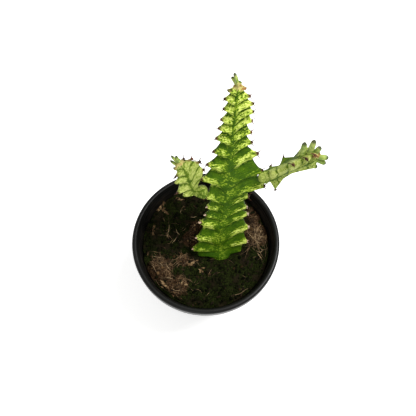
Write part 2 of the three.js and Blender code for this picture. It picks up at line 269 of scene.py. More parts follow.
pot_outline = [
    (pad_radius, 0), (pad_radius + pad_slope, floor_rise), (wall_base_radius - foot_width, floor_rise),
    (wall_base_radius - foot_width, 0), (wall_base_radius, 0), (wall_top_radius, band_bottom),
    (rim_radius - 0.9, band_bottom + 0.5), (rim_radius, band_bottom + 1.6), (rim_radius, pot_height - 1.6),
    (rim_radius - 0.5, pot_height - 0.5), (rim_radius - 1.6, pot_height),
    (rim_radius - rim_width + 0.9, pot_height - 0.1), (rim_radius - rim_width + 0.1, pot_height - 1),
    (rim_radius - rim_width, pot_height - 3.2), (rim_radius - rim_width - 0.5, pot_height - 3.8),
    (rim_radius - rim_width - 0.7, pot_height - 6.4), (rim_radius - rim_width - 1.15, pot_height - 7),
    (wall_radius(band_bottom), band_bottom), (wall_radius(floor_top + 1), floor_top + 1),
    (wall_radius(floor_top) - 1, floor_top), (pad_radius + pad_slope, floor_top), (pad_radius, wall_thickness),
]
print("the wall's inside is", round(2 * wall_radius(band_bottom), 1), "mm wide under the rim")


# %% Extrude the pot
def close_holes(piece):
    """Fill each open loop, and split the fill from its middle."""
    bpy.ops.mesh.select_all(action="DESELECT")
    bpy.ops.mesh.select_mode(type="EDGE")
    bpy.ops.mesh.select_non_manifold(extend=False, use_wire=False, use_multi_face=False,
                                     use_non_contiguous=False, use_verts=False)
    bpy.ops.mesh.edge_face_add()
    bpy.ops.mesh.select_all(action="SELECT")
    bpy.ops.mesh.normals_make_consistent(inside=False)


def turned(name, outline, sides):
    """Extrude a circle along an outline of (radius, height) points."""
    bpy.ops.object.select_all(action="DESELECT")
    bpy.ops.mesh.primitive_circle_add(vertices=sides, radius=outline[0][0] * MM, location=(0, 0, 0))
    piece = bpy.context.object
    piece.name = name
    bpy.ops.object.mode_set(mode="EDIT")
    bpy.ops.mesh.select_all(action="SELECT")
    bpy.ops.transform.translate(value=(0, 0, outline[0][1] * MM))
    for (radius, height), (next_radius, next_height) in zip(outline, outline[1:]):
        bpy.ops.mesh.extrude_edges_move(TRANSFORM_OT_translate={"value": (0, 0, (next_height - height) * MM)})
        growth = next_radius / radius
        bpy.ops.transform.resize(value=(growth, growth, 1), center_override=(0, 0, 0))
    close_holes(piece)
    bpy.ops.object.mode_set(mode="OBJECT")
    return piece


def add_modifier(piece, kind, **settings):
    """Add a modifier and apply it at once."""
    choose(piece)
    modifier = piece.modifiers.new(kind.lower(), kind)
    for key, value in settings.items():
        setattr(modifier, key, value)
    bpy.ops.object.modifier_apply(modifier=modifier.name)


pot = turned("nursery_pot", pot_outline, 128)
add_modifier(pot, "BEVEL", width=0.35 * MM, segments=2, limit_method="ANGLE", angle_limit=math.radians(20))
print("pot has", len(pot.data.polygons), "faces")

# %% [markdown]
# The drain holes and the foot's notches are cut with Booleans. One cutter of each kind is made, copied round
# the pot and joined, so that a single cut opens them all.

# %% Drain holes and notches
drain_hole_radius = 3.5
drain_circle_radius = 29
foot_notch_width = 7
foot_notch_height = 1.6
openings = 8


def joined(pieces, name):
    """Join objects into one mesh."""
    bpy.ops.object.select_all(action="DESELECT")
    for piece in pieces:
        piece.select_set(True)
    bpy.context.view_layer.objects.active = pieces[0]
    if len(pieces) > 1:
        bpy.ops.object.join()
    pieces[0].name = name
    return pieces[0]


def copied(piece, matrix):
    """A copy with its own mesh, moved in the mesh itself."""
    twin = piece.copy()
    twin.data = piece.data.copy()
    twin.data.transform(matrix)
    bpy.context.scene.collection.objects.link(twin)
    return twin


def cut_round(cutter, first_turn):
    """Cut the pot with a ring of copies of a cutter."""
    turns = [first_turn + 2 * math.pi * i / openings for i in range(openings)]
    ring = [copied(cutter, Matrix.Rotation(turn, 4, "Z")) for turn in turns]
    bpy.data.objects.remove(cutter)
    ring = joined(ring, "cutters")
    add_modifier(pot, "BOOLEAN", operation="DIFFERENCE", solver="EXACT", object=ring)
    bpy.data.objects.remove(ring)


bpy.ops.object.select_all(action="DESELECT")
bpy.ops.mesh.primitive_cylinder_add(vertices=24, radius=drain_hole_radius * MM, depth=4 * floor_top * MM)
drill = bpy.context.object
drill.data.transform(Matrix.Translation((drain_circle_radius * MM, 0, 0)))
cut_round(drill, 0)
bpy.ops.object.select_all(action="DESELECT")
bpy.ops.mesh.primitive_cube_add(size=1)
notch_cutter = bpy.context.object
notch_cutter.data.transform(Matrix.Translation((wall_base_radius * MM, 0, 0)) @ Matrix.Diagonal(
    (4 * foot_width * MM, foot_notch_width * MM, 2 * foot_notch_height * MM, 1)))
cut_round(notch_cutter, math.pi / openings)
choose(pot)
bpy.ops.object.shade_smooth_by_angle(angle=math.radians(35))
print("pot with its openings has", len(pot.data.polygons), "faces")

# %% [markdown]
# The plastic is black and satin. Close up it has a fine moulded grain, faint scuffs that run round the wall,
# and a film of dried soil and lime above the soil line, so these change its colour and its roughness.

# %% Black plastic
def black_plastic():
    finish = Finish("black plastic", Specular_IOR_Level=0.16)
    place = finish.object_place()
    height = finish.node("ShaderNodeSeparateXYZ", inputs={"Vector": place}, output="Z")
    grain = finish.cloud(place, 2600, 2)
    smear = finish.cloud(finish.stretched(place, (60, 60, 420)), 1, 4)
    scuff = finish.step(finish.cloud(finish.stretched(place, (110, 110, 1500)), 1, 3), 0.62, 0.78)
    blotch = finish.cloud(place, 90, 4)
    film = finish.step(height, 0.0885, 0.0815) * finish.step(height, 0.070, 0.076)
    dust = film * finish.step(blotch, 0.42, 0.7)
    plastic = finish.mix(smear, (0.0035, 0.0036, 0.0032), (0.008, 0.008, 0.0072))
    plastic = finish.mix(scuff * 0.5, plastic, (0.035, 0.035, 0.034))
    colour = finish.mix(dust * 0.5, plastic, (0.045, 0.034, 0.024))
    roughness = 0.26 + 0.12 * smear + 0.25 * dust + 0.1 * scuff
    return finish.skin_feeds(Base_Color=colour, Roughness=roughness, Normal=finish.bump(grain, 0.12, 0.0002))


def dress(piece, node, slot, *materials):
    """Give a finished piece its materials, hang it on the root body, and hide the solid it replaces."""
    piece.data.materials.clear()
    for material in materials:
        piece.data.materials.append(material)
    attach(piece, "root")
    if node:
        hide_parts(node)


dress(pot, "pot", "pot_plastic", black_plastic())
print("pot is dressed")

# %% [markdown]
# ## Soil
# The potting mix is dark and lumpy, with moss on it, clumps of brown coir and a few pale chips. A flat disc
# with bumps painted on would show from the side. So a grid is wrapped into a disc, its points are lifted
# to the solid model's mounds plus finer lumps, and its last rows go down inside the wall, because the
# drain holes show the soil from below.

# %% Soil sizes, in millimetres
soil_level = 80
soil_bump = 0.8
soil_edge_dip = 2.6
soil_edge_width = 9
stem_clearing = 30
stem_hollow = 0.9
seat_gap = 0.3
wall_slack = 0.16
stub_radius = 9
lump_height = 1.7
lump_size = 4.2
crumb_height = 0.35
crumb_size = 0.9
moss_bank_height = 2.2
stem_foot = Vector((11, -3.2, soil_level))
mounds = [
    (-32, -21, 10, 3.4), (-18.5, -11, 5, 2.6), (-22, -32, 9, 2.2), (38, 12, 10, 2.8), (14, -29, 15, 1.8),
    (-35, 9, 11, 1.6), (-24, 33, 8, 2),
]


def lerp(low, high, part):
    return low + (high - low) * part


def smooth(value, low=0.0, high=1.0):
    part = min(1.0, max(0.0, (value - low) / (high - low)))
    return part * part * (3 - 2 * part)


def soil_radius(height):
    return wall_radius(height) - seat_gap - wall_slack


def soil_height(x, y):
    """Height of the soil at a point, as in the solid model, with fine lumps added."""
    calm = smooth(math.hypot(x - stem_foot.x, y - stem_foot.y), stub_radius, stem_clearing)
    edge = soil_radius(soil_level) - math.hypot(x, y)
    dip = soil_edge_dip * max(0, 1 - edge / soil_edge_width) ** 2
    ripple = math.sin(0.31 * x + 1.1) * math.cos(0.27 * y - 0.4) + 0.6 * math.sin(0.62 * x - 0.49 * y)
    piled = sum(high * smooth(1 - math.hypot(x - mx, y - my) / radius) for mx, my, radius, high in mounds)
    lumps = noise.fractal(Vector((x, y, 0)) / lump_size, 0.9, 2.1, 4) * lump_height
    crumbs = noise.noise(Vector((x, y, 7)) / crumb_size) * crumb_height
    shape = soil_level - stem_hollow * (1 - calm) + calm * soil_bump * ripple + min(1, 2 * calm) * piled - dip
    moss_bank = moss_bank_height * smooth(1 - math.hypot((x - 12) / 13, (y + 15.5) / 5))
    return shape + moss_bank + (0.35 + 0.65 * calm) * (lumps + crumbs)


print("soil is", round(soil_height(-32, -21), 1), "mm high on the left clump")


# %% Wrap a grid
def wrapped_grid(name, points, uvs, measures):
    """A grid whose points are set row by row, and whose touching edges are then merged.

    points is rows x columns x 3 in millimetres, uvs is rows x columns x 2, and each measure is an attribute.
    """
    rows, columns = points.shape[:2]
    bpy.ops.object.select_all(action="DESELECT")
    bpy.ops.mesh.primitive_grid_add(x_subdivisions=columns - 1, y_subdivisions=rows - 1, size=2)
    piece = bpy.context.object
    piece.name = name
    mesh = piece.data
    flat = np.empty(len(mesh.vertices) * 3)
    mesh.vertices.foreach_get("co", flat)
    flat = flat.reshape(-1, 3)
    column = np.rint((flat[:, 0] + 1) / 2 * (columns - 1)).astype(int)
    row = np.rint((flat[:, 1] + 1) / 2 * (rows - 1)).astype(int)
    mesh.vertices.foreach_set("co", (points[row, column] * MM).ravel())
    corner = np.empty(len(mesh.loops), int)
    mesh.loops.foreach_get("vertex_index", corner)
    mesh.uv_layers.active.data.foreach_set("uv", uvs[row[corner], column[corner]].ravel())
    for title, values in measures.items():
        mesh.attributes.new(title, "FLOAT", "POINT").data.foreach_set("value", values[row, column].ravel())
    bpy.ops.object.mode_set(mode="EDIT")
    bpy.ops.mesh.select_all(action="SELECT")
    bpy.ops.mesh.remove_doubles(threshold=1e-6)
    bpy.ops.mesh.normals_make_consistent(inside=False)
    bpy.ops.object.mode_set(mode="OBJECT")
    bpy.ops.object.shade_smooth()
    return piece


# %% Soil
soil_columns = 260
soil_rings = 95
top_radius = soil_radius(soil_level - soil_edge_dip - 1)
soil_turns = np.linspace(0, 2 * math.pi, soil_columns + 1)
soil_turns[-1] = 0
soil_rows = []
for ring in range(soil_rings + 1):
    reach = top_radius * (ring / soil_rings) ** 0.85
    spots = [(reach * math.cos(turn), reach * math.sin(turn)) for turn in soil_turns]
    soil_rows.append([(x, y, soil_height(x, y)) for x, y in spots])
soil_sides = [(soil_radius(height), height) for height in (72, 50, 28, floor_top + 2)]
soil_sides += [(wall_radius(floor_top) - 1.5, floor_top + seat_gap), (pad_radius + pad_slope, floor_top + 0.5),
               (pad_radius - 0.4, wall_thickness + seat_gap), (0, wall_thickness + seat_gap)]
for reach, height in soil_sides:
    soil_rows.append([(reach * math.cos(turn), reach * math.sin(turn), height) for turn in soil_turns])
soil_points = np.array(soil_rows)
soil = wrapped_grid("soil_bed", soil_points, soil_points[:, :, :2] / 100, {})
print("soil has", len(soil.data.polygons), "faces")


# %% [markdown]
# Moss makes the wet soil almost black-green, and the coir clumps are a warm brown. The colour follows the
# places of the clumps on the bed, blurred by noise, with fine crumbs of lighter peat over it.

# %% Soil finish
def near_spot(finish, place, x, y, radius):
    """1 at a spot on the soil and 0 outside its radius."""
    centre = (x * MM, y * MM, soil_level * MM)
    away = finish.node("ShaderNodeVectorMath", {"operation": "DISTANCE"}, {0: place, 1: centre}, output="Value")
    return finish.step(away, radius * MM, radius * 0.35 * MM)


coir_spots = [(-34, -19, 13), (-17, -13, 7), (-21, -32, 11), (39, 8, 14), (38, 25, 9), (-12, 4, 9), (-8, 14, 7)]


def crumbly_soil():
    finish = Finish("crumbly soil", Specular_IOR_Level=0.02)
    place = finish.object_place()
    broad = finish.cloud(place, 130, 4)
    fine = finish.cloud(place, 900, 4)
    speck = finish.cloud(place, 2300, 2)
    coir = 0
    for x, y, radius in coir_spots:
        coir = near_spot(finish, place, x, y, radius) + coir
    coir = finish.step(coir + 0.7 * broad, 0.55, 0.95)
    moss = finish.mix(finish.step(fine, 0.35, 0.65), (0.002, 0.0028, 0.0008), (0.012, 0.016, 0.0035))
    moss = finish.mix(finish.step(broad, 0.5, 0.62), moss, (0.013, 0.01, 0.005))
    brown = finish.mix(finish.step(fine, 0.35, 0.68), (0.012, 0.006, 0.003), (0.06, 0.033, 0.016))
    leafy = finish.step(speck, 0.55, 0.68) * finish.step(broad, 0.55, 0.45)
    moss = finish.mix(leafy, moss, (0.03, 0.042, 0.008))
    ground = finish.mix(coir, moss, brown)
    colour = finish.mix(finish.step(speck, 0.66, 0.75) * (0.15 + 0.35 * coir), ground, (0.16, 0.11, 0.06))
    return finish.skin_feeds(Base_Color=colour, Roughness=0.82 + 0.15 * fine,
                             Normal=finish.bump(fine + 0.5 * speck, 0.6, 0.0006))


dress(soil, "soil", "soil", crumbly_soil())
print("soil is dressed")

# %% [markdown]
# ## Crumbs, chips and fibres
# Loose bits make the bed look real from low angles. A few are modelled, a ball that is squashed and
# roughened, and copied all over the bed, each copy with its own turn, size and tone. Their places are drawn
# from a seeded list, so the bed is the same every time.

# %% Crumbs
draw = random.Random(7)


def lump(name, faces, seed):
    """A rough little ball, 2 mm across."""
    bpy.ops.object.select_all(action="DESELECT")
    bpy.ops.mesh.primitive_ico_sphere_add(subdivisions=faces, radius=1)
    piece = bpy.context.object
    piece.name = name
    for vertex in piece.data.vertices:
        rough = 1 + 0.45 * noise.noise(vertex.co * 1.3 + Vector((seed, 0, 0)))
        vertex.co = Vector((vertex.co.x, vertex.co.y * 0.85, vertex.co.z * 0.65)) * rough
    piece.data.transform(Matrix.Scale(MM, 4))
    bpy.ops.object.shade_smooth()
    return piece


def on_soil(x, y, lift=0.0):
    return Vector((x, y, soil_height(x, y) + lift)) * MM


def any_turn():
    heading = Matrix.Rotation(draw.uniform(0, 2 * math.pi), 4, "Z")
    return heading @ Matrix.Rotation(draw.uniform(-0.5, 0.5), 4, "X")


def toned(piece, tone):
    """Give every point of a copy one tone, which its material reads."""
    values = np.full(len(piece.data.vertices), tone)
    piece.data.attributes.new("tone", "FLOAT", "POINT").data.foreach_set("value", values)
    return piece


def free_spot(outer=47.0):
    """A spot on the bed that isn't under the stem."""
    while True:
        x, y = draw.uniform(-outer, outer), draw.uniform(-outer, outer)
        if math.hypot(x, y) < outer and math.hypot(x - stem_foot.x, y - stem_foot.y) > stub_radius + 3:
            return x, y


def coir_at(x, y):
    return max(smooth(1.25 - math.hypot(x - sx, y - sy) / radius) for sx, sy, radius in coir_spots)


lumps = [lump(f"lump_{i}", 2, 3.1 * i) for i in range(3)] + [lump(f"grain_{i}", 1, 5.3 * i) for i in range(3)]
crumb_count = 1300
crumbs = []
for i in range(crumb_count):
    x, y = free_spot()
    size = draw.choice((0.35, 0.45, 0.6, 0.6, 0.9, 1.3))
    source = lumps[i % 3] if size > 0.8 else lumps[3 + i % 3]
    matrix = Matrix.Translation(on_soil(x, y, 0.25 * size)) @ any_turn() @ Matrix.Scale(size, 4)
    tone = 0.15 * draw.random() + 0.75 * coir_at(x, y) * draw.random() + (0.25 if draw.random() < 0.04 else 0)
    crumbs.append(toned(copied(source, matrix), tone))
for piece in lumps:
    bpy.data.objects.remove(piece)
crumbs = joined(crumbs, "soil_crumbs")
print("crumbs have", len(crumbs.data.polygons), "faces")


# %% Crumb finish
def crumb_brown():
    finish = Finish("peat crumbs", Specular_IOR_Level=0.03)
    place = finish.object_place()
    fine = finish.cloud(place, 1400, 3)
    tone = finish.attribute("tone")
    colour = finish.ramp(tone + 0.2 * (fine - 0.5), (0.0, (0.0015, 0.0018, 0.0006)),
                         (0.15, (0.008, 0.0085, 0.003)), (0.4, (0.03, 0.017, 0.007)),
                         (0.75, (0.12, 0.07, 0.03)), (1.0, (0.34, 0.23, 0.12)))
    return finish.skin_feeds(Base_Color=colour, Roughness=0.8 + 0.15 * fine,
                             Normal=finish.bump(fine, 0.5, 0.0003))


dress(crumbs, None, "soil", crumb_brown())

# %% [markdown]
# Chips of bark and husk are flat, split pieces. A cube is subdivided, pinched along its grain and roughened.
# The chips that show most are placed one by one, each with a few splinters round it, and the rest are strewn.

# %% Bark chips
def chip(name, seed):
    """A split flake, 2 mm long with its grain along X."""
    bpy.ops.object.select_all(action="DESELECT")
    bpy.ops.mesh.primitive_cube_add(size=2)
    piece = bpy.context.object
    piece.name = name
    bpy.ops.object.mode_set(mode="EDIT")
    bpy.ops.mesh.select_all(action="SELECT")
    bpy.ops.mesh.subdivide(number_cuts=5)
    bpy.ops.object.mode_set(mode="OBJECT")
    for vertex in piece.data.vertices:
        x, y, z = vertex.co
        taper = 1 - 0.4 * abs(x) ** 3 + 0.7 * noise.noise(Vector((x * 2.2, 3 * seed, y)))
        split = 0.9 * noise.noise(Vector((0.4 * x, y * 3.5, seed)))
        bend = 0.25 * x * x * math.sin(seed)
        vertex.co = (x * (1 + split), 0.5 * y * taper, 0.14 * z * taper + bend + 0.25 * split)
    piece.data.transform(Matrix.Scale(MM, 4))
    bpy.ops.object.shade_smooth_by_angle(angle=math.radians(20))
    return piece


# Each chip: x, y, half length, turn in degrees, tilt in degrees, tone
placed_chips = [
    (-36.6, 29.3, 3.2, 65, 18, 0.92), (-32.1, 26.4, 2.4, -25, 10, 0.75), (-19.7, 36.5, 2.6, 10, 15, 0.8),
    (-34, 33.5, 2.2, 80, -12, 0.7), (-5.7, 17.1, 2.4, 40, 25, 0.85), (-3.6, 18.6, 1.7, -30, 12, 0.95),
    (-10.1, -15.1, 2.3, 35, 30, 0.95), (-12.4, -16.6, 1.8, -12, 10, 0.8), (-3.8, -21.1, 2.2, 75, 22, 0.85),
    (-2.2, -19.2, 1.5, 0, 15, 0.7), (-31.2, -31.2, 3.2, -45, 8, 0.86), (-28, -33.6, 2.6, -30, 14, 0.72),
    (-17.3, -29.9, 2.2, 50, 20, 0.95), (-15.2, -31.6, 1.8, -60, 15, 0.9), (-20.3, -33, 2.4, -15, 12, 0.72),
    (46.2, 5.2, 2.2, 70, 14, 0.9), (-40.2, 12.8, 2.4, 70, 10, 0.62), (-41, 9, 2.2, 95, 12, 0.7),
    (30.5, 26, 2.4, 20, 10, 0.4), (-24, -37, 2.2, -35, 12, 0.6), (3, -24, 1.4, 15, 18, 0.5),
    (18, 34, 2.4, 10, 14, 0.7), (-2, 38, 2.8, -20, 10, 0.55), (26, 38, 2, 60, 16, 0.8),
    (-44, -8, 1.6, 85, 12, 0.6),
]
flakes = [chip(f"flake_{i}", 1.7 * i + 0.4) for i in range(3)]
chips = []
splinters = 5
strewn_chips = 160


def chip_matrix(x, y, heading, tilt, half):
    """Lay a flake on the soil. heading is in degrees and tilt in radians."""
    return (Matrix.Translation(on_soil(x, y, 0.5)) @ Matrix.Rotation(math.radians(heading), 4, "Z")
            @ Matrix.Rotation(tilt, 4, "Y") @ Matrix.Scale(half, 4))


for i, (x, y, half, turn, tilt, tone) in enumerate(placed_chips):
    matrix = chip_matrix(x, y, turn, math.radians(tilt), half) @ Matrix.Diagonal((0.85, 0.6, 0.8, 1))
    chips.append(toned(copied(flakes[i % 3], matrix), tone - 0.05))
    for _ in range(splinters):
        near = (x + draw.gauss(0, 0.5 * half), y + draw.gauss(0, 0.5 * half))
        matrix = chip_matrix(*near, turn + draw.gauss(0, 30), draw.uniform(-0.5, 0.5),
                             half * draw.uniform(0.25, 0.5))
        chips.append(toned(copied(flakes[i % 3], matrix), tone - draw.uniform(0.0, 0.5)))
for i in range(strewn_chips):
    x, y = free_spot()
    matrix = Matrix.Translation(on_soil(x, y, 0.2)) @ any_turn() @ Matrix.Scale(draw.uniform(0.5, 1.5), 4)
    tone = 0.1 + 0.6 * coir_at(x, y) * draw.random() + 0.15 * draw.random()
    chips.append(toned(copied(flakes[i % 3], matrix), tone))
for piece in flakes:
    bpy.data.objects.remove(piece)
chips = joined(chips, "bark_chips")
print("chips have", len(chips.data.polygons), "faces")


# %% Chip finish
def split_bark():
    finish = Finish("split bark and husk", Specular_IOR_Level=0.1)
    place = finish.object_place()
    fine = finish.cloud(place, 1100, 4)
    grain = finish.cloud(finish.stretched(place, (500, 2600, 2600)), 1, 3)
    tone = finish.attribute("tone")
    blotch = finish.step(finish.cloud(place, 700, 3), 0.35, 0.65)
    colour = finish.ramp(tone + 1.2 * (grain - 0.5) + 0.3 * (blotch - 0.8), (0.0, (0.006, 0.004, 0.002)),
                         (0.35, (0.035, 0.02, 0.009)), (0.7, (0.15, 0.09, 0.04)), (1.0, (0.42, 0.29, 0.15)))
    return finish.skin_feeds(Base_Color=colour, Roughness=0.75 + 0.15 * fine,
                             Normal=finish.bump(grain, 0.5, 0.0003))


dress(chips, None, "soil", split_bark())

# %% [markdown]
# Coir is coconut fibre: stiff, tan, slightly curled threads that lie over each other in mats. Each thread
# is a short curve with a round section. All of them are drawn as splines of one curve object, which is then
# turned into a mesh.

# %% Coir fibres
def threads(name, lines, radius):
    """Thin round threads through lists of points in millimetres."""
    path = bpy.data.curves.new(name, "CURVE")
    path.dimensions = "3D"
    path.bevel_depth = radius * MM
    path.bevel_resolution = 0
    path.resolution_u = 3
    path.use_fill_caps = True
    for line in lines:
        spline = path.splines.new("NURBS")
        spline.points.add(len(line) - 1)
        spline.use_endpoint_u = True
        spline.order_u = 4
        for point, spot in zip(spline.points, line):
            point.co = (*(Vector(spot) * MM), 1)
        for share, point in zip(np.linspace(-1, 1, len(line)), spline.points):
            point.radius = 1 - 0.6 * abs(share) ** 3
    piece = bpy.data.objects.new(name, path)
    bpy.context.scene.collection.objects.link(piece)
    choose(piece)
    bpy.ops.object.convert(target="MESH")
    bpy.ops.object.shade_smooth()
    return piece


def lying_thread(x, y, heading, length, curl, lift):
    """A thread that lies over the soil in a slow curve."""
    line = []
    for i in range(7):
        line.append((x, y, soil_height(x, y) + 0.25 + lift * math.sin(math.pi * i / 6)))
        x += length / 6 * math.cos(heading)
        y += length / 6 * math.sin(heading)
        heading += curl / 6 + draw.uniform(-0.25, 0.25)
    return line


# Each mat of coir: x, y, spread, number of threads, longest thread, lift
mats = [(-34, -19, 9, 70, 12, 1.6), (-17, -12.5, 4, 30, 7, 1.2), (-20, -32, 8, 40, 9, 1.4),
        (39.5, 6, 8, 130, 14, 2.6), (37, 24, 7, 50, 9, 1.4), (-12, 4, 6, 20, 8, 1.0), (-27, 10, 9, 16, 9, 0.8),
        (0, 0, 44, 60, 8, 0.8)]
coir_lines = []
for x, y, spread, count, longest, lift in mats:
    for _ in range(count):
        px, py = draw.gauss(x, spread * 0.55), draw.gauss(y, spread * 0.55)
        heading = draw.uniform(0, 2 * math.pi)
        line = lying_thread(px, py, heading, draw.uniform(0.35, 1) * longest, draw.uniform(-1.6, 1.6),
                            lift * draw.random())
        if all(math.hypot(px, py) < 47.4 for px, py, _ in line):
            coir_lines.append(line)
fine_coir = threads("fine_coir", coir_lines, 0.13)
# Each long thread: x, y, heading in degrees, length, curl in degrees, lift
long_threads = [
    (31.8, 9.7, -58, 17, 35, 1.2), (43.1, 13.4, -95, 15, -30, 1.6), (38, 16, -100, 18, 45, 2.0),
    (44.5, 9, -110, 11, -60, 1.2), (34.5, 2.5, 35, 12, 50, 1.8), (41, -3, -60, 8, 120, 1.2),
    (43.5, -4, -110, 7, -150, 1.0), (39, -6.5, -75, 7, 60, 0.8), (46, 6, 200, 10, -50, 1.6),
    (-34.3, -26.6, -6, 10, -14, 1.2), (-40.5, -9.4, -24, 11.5, 8, 0.6), (-19, 28.5, -130, 4, 90, 0.8),
    (-12, 22.4, -12, 5, 30, 0.6), (-28.5, 15, -88, 10, 10, 0.5), (-23, 12, -80, 6, 70, 0.6),
    (-22.4, 6, -100, 8, -60, 0.6), (18.7, -40.2, 22, 14, 14, 0.6), (-41, -16, -50, 10, 25, 1.5),
    (-38, -14, -30, 9, -40, 1.5), (-30, -15, -70, 8, 30, 1.5), (-25, -35, -30, 7, 35, 1.0),
]
long_lines = [lying_thread(x, y, math.radians(heading), length, math.radians(curl), lift)
              for x, y, heading, length, curl, lift in long_threads]
long_coir = threads("long_coir", long_lines, 0.2)
print("fibres have", len(fine_coir.data.polygons) + len(long_coir.data.polygons), "faces")


# %% Fibre finish
def coir_tan(name, dark, light):
    finish = Finish(name, Specular_IOR_Level=0.2)
    place = finish.object_place()
    patch = finish.cloud(place, 160, 2)
    fine = finish.cloud(place, 1600, 3)
    colour = finish.mix(finish.step(patch + 0.5 * (fine - 0.5), 0.35, 0.68), dark, light)
    return finish.skin_feeds(Base_Color=colour, Roughness=0.6 + 0.2 * fine,
                             Normal=finish.bump(fine, 0.3, 0.0001))


dress(fine_coir, None, "soil", coir_tan("fine coir", (0.025, 0.014, 0.007), (0.27, 0.17, 0.085)))
dress(long_coir, None, "soil", coir_tan("long coir", (0.15, 0.095, 0.045), (0.5, 0.36, 0.2)))

# %% [markdown]
# ## Stems
# Each stem is three wings round one middle line. A wing's edge is a row of teeth: a tip, a straight shoulder
# above it, a notch, and a hollow that sweeps out to the next tip. From each tooth a swollen ridge runs inwards
# and down to the groove. Sculpting this by hand would be slow and never even, so a grid is wrapped round the
# stem, with many rows to each tooth, by the same rule as the solid model.

# %% The rule for a wing's edge, in millimetres
notch_depth = 3
notch_place = 0.68
notch_pitch = 8
shoulder_bend = 0.6
under_bend = 1.7
ridge_slope = 0.7
foot_calm = 20
PLAIN = "plain"
KNOB = "knob"


def edge_at(teeth, phase):
    """Along and reach of a wing's edge. Whole phases are teeth. The last value has no notches."""
    low = min(int(phase), len(teeth) - 2)
    part = phase - low
    along_low, reach_low = teeth[low][:2]
    along_high, reach_high = teeth[low + 1][:2]
    along, full = lerp(along_low, along_high, part), lerp(reach_low, reach_high, part)
    if PLAIN in teeth[low] + teeth[low + 1]:
        return along, full, full
    least = min(reach_low, reach_high)
    depth = notch_depth if low > 0 else 0
    notch = least - depth * min(1, (along_high - along_low) / notch_pitch, least / notch_pitch)
    if part < notch_place:
        reach = lerp(reach_low, notch, (part / notch_place) ** shoulder_bend)
    else:
        reach = lerp(notch, reach_high, ((part - notch_place) / (1 - notch_place)) ** under_bend)
    return along, reach, full


def groove_depth(reach, along, base_radius):
    groove = min(2.4 + 0.2 * reach, 0.8 * reach)
    fill = max(0, 1 - along / 14) ** 2
    return lerp(groove, max(groove, min(base_radius, reach)), fill)


sample_teeth = [(0, 10, 0), (8, 10, 0), (16, 10, 0)]
print("an edge halfway up a shoulder:", [round(v, 2) for v in edge_at(sample_teeth, 1.4)])

# %% [markdown]
# A tooth is written as its distance along the stem, its reach from the middle line, and how pale its ridge is,
# because the yellow-green patches are strong on some ridges and missing on others. A plain tooth is only a
# soft swelling, and a knob has a notch but no spines. The stem's wings are at the right, the back and the left.
#
# The other values of a stem say which stretch still has its spines, how the front groove shares the space
# between two wings, how far out the pale patches begin, how long its dry end is, and how far up its foot is
# darkened as painted shade.

# %% Main stem
stem_lean = math.radians(18)
stem_side_lean = 0.045
stem_length = 148
stem_axis = Vector((stem_side_lean, math.sin(stem_lean), math.cos(stem_lean))).normalized()


def straight(at):
    return stem_foot + stem_axis * (stem_length * at), stem_axis


main_stem = {
    "curve": straight, "length": stem_length, "facing": Vector((1, 0, 0)), "base_radius": stub_radius,
    "spined": (56, 142), "first_rib": 1, "front_share": 0.4, "spine_size": 1.0, "lobe_height": 2.1, "dry": 7,
    # The last value on the next line gives how far up, in mm, the foot is darkened as painted shade.
    "shield_lift": 0, "foot_shade": 7,
    "inner_pale": ((0, 0.38), (58, 0.4), (85, 0.4), (100, 0.25), (112, 0.12), (150, 0.12)),
    "ribs": [
        (-8, [(1, 16, 0.5), (13, 19.5, 0.8), (30, 18.5, 1), (44, 16.5, 0.7), (51, 15, 0.6), (62, 15, 0.7),
              (73.5, 24, 0.5), (86.8, 20.8, 0.1), (100, 16.3, 1), (108, 11.8, 0.5), (115.5, 10.5, 0.55),
              (123.5, 10, 0.95), (129.8, 10, 0.95), (135, 9.3, 0.9), (139.5, 7, 0.8), (144, 4.4, 0.7),
              (147, 1.6, 0.7)]),
        (90, [(5, 13, 0.4), (15, 16.5, 0.6), (28, 17, 0.75), (41, 16, 0.6), (50, 14.5, 0.7), (60, 15, 0.6),
              (73, 19, 0.55), (85, 18, 0.6), (96, 14.5, 0.8), (105, 12, 0.65), (113, 11, 0.75),
              (120.5, 10, 0.85), (127.5, 9.5, 0.9), (133, 8.5, 0.8), (138.5, 7, 0.8), (143, 5, 0.7),
              (147, 1.6, 0.7)]),
        (198, [(-1.5, 18, 0.35), (7, 22.5, 0.5), (20, 20, 0.7), (37, 18, 0.75), (44, 14.5, 0.4),
               (52, 13.5, 0.75), (62, 14.5, 0.8), (80, 18.5, 0.8), (91.7, 15.2, 0.7), (101.3, 11.5, 0.55),
               (111.2, 10.5, 0.7),
               (118.3, 9.5, 0.75), (124.3, 8.5, 0.9), (131.3, 7.5, 0.85), (137.8, 7.5, 0.9), (142.7, 6, 0.8),
               (147, 1.6, 0.7)]),
    ],
    "leaves": [(143, (15, 45.1, 223.7), 3.4), (143, (13.8, 45.4, 220.4), 2.2), (142, (17.3, 43, 217.7), 2.4)],
}
print("stem is", stem_length, "mm long with", sum(len(teeth) - 2 for _, teeth in main_stem["ribs"]), "teeth")

# %% [markdown]
# The side branches are young shoots of the same kind. Each grows out of a wing, bends and then rises, so its
# middle line is a curve from the first of its four corners to the last, pulled towards the two between them.
# Its spines are smaller and its tip still carries leaves.

# %% Side branches
def bent(*corners):
    """A curve that swings out of the wing and then turns upwards."""
    a, b, c, d = (Vector(corner) for corner in corners)

    def at_share(at):
        at = min(1.0, max(0.0, at))
        rest = 1 - at
        point = a * rest ** 3 + b * (3 * at * rest ** 2) + c * (3 * at ** 2 * rest) + d * at ** 3
        slope = (b - a) * rest ** 2 + (c - b) * (2 * at * rest) + (d - c) * at ** 2
        return point, slope.normalized()

    return at_share


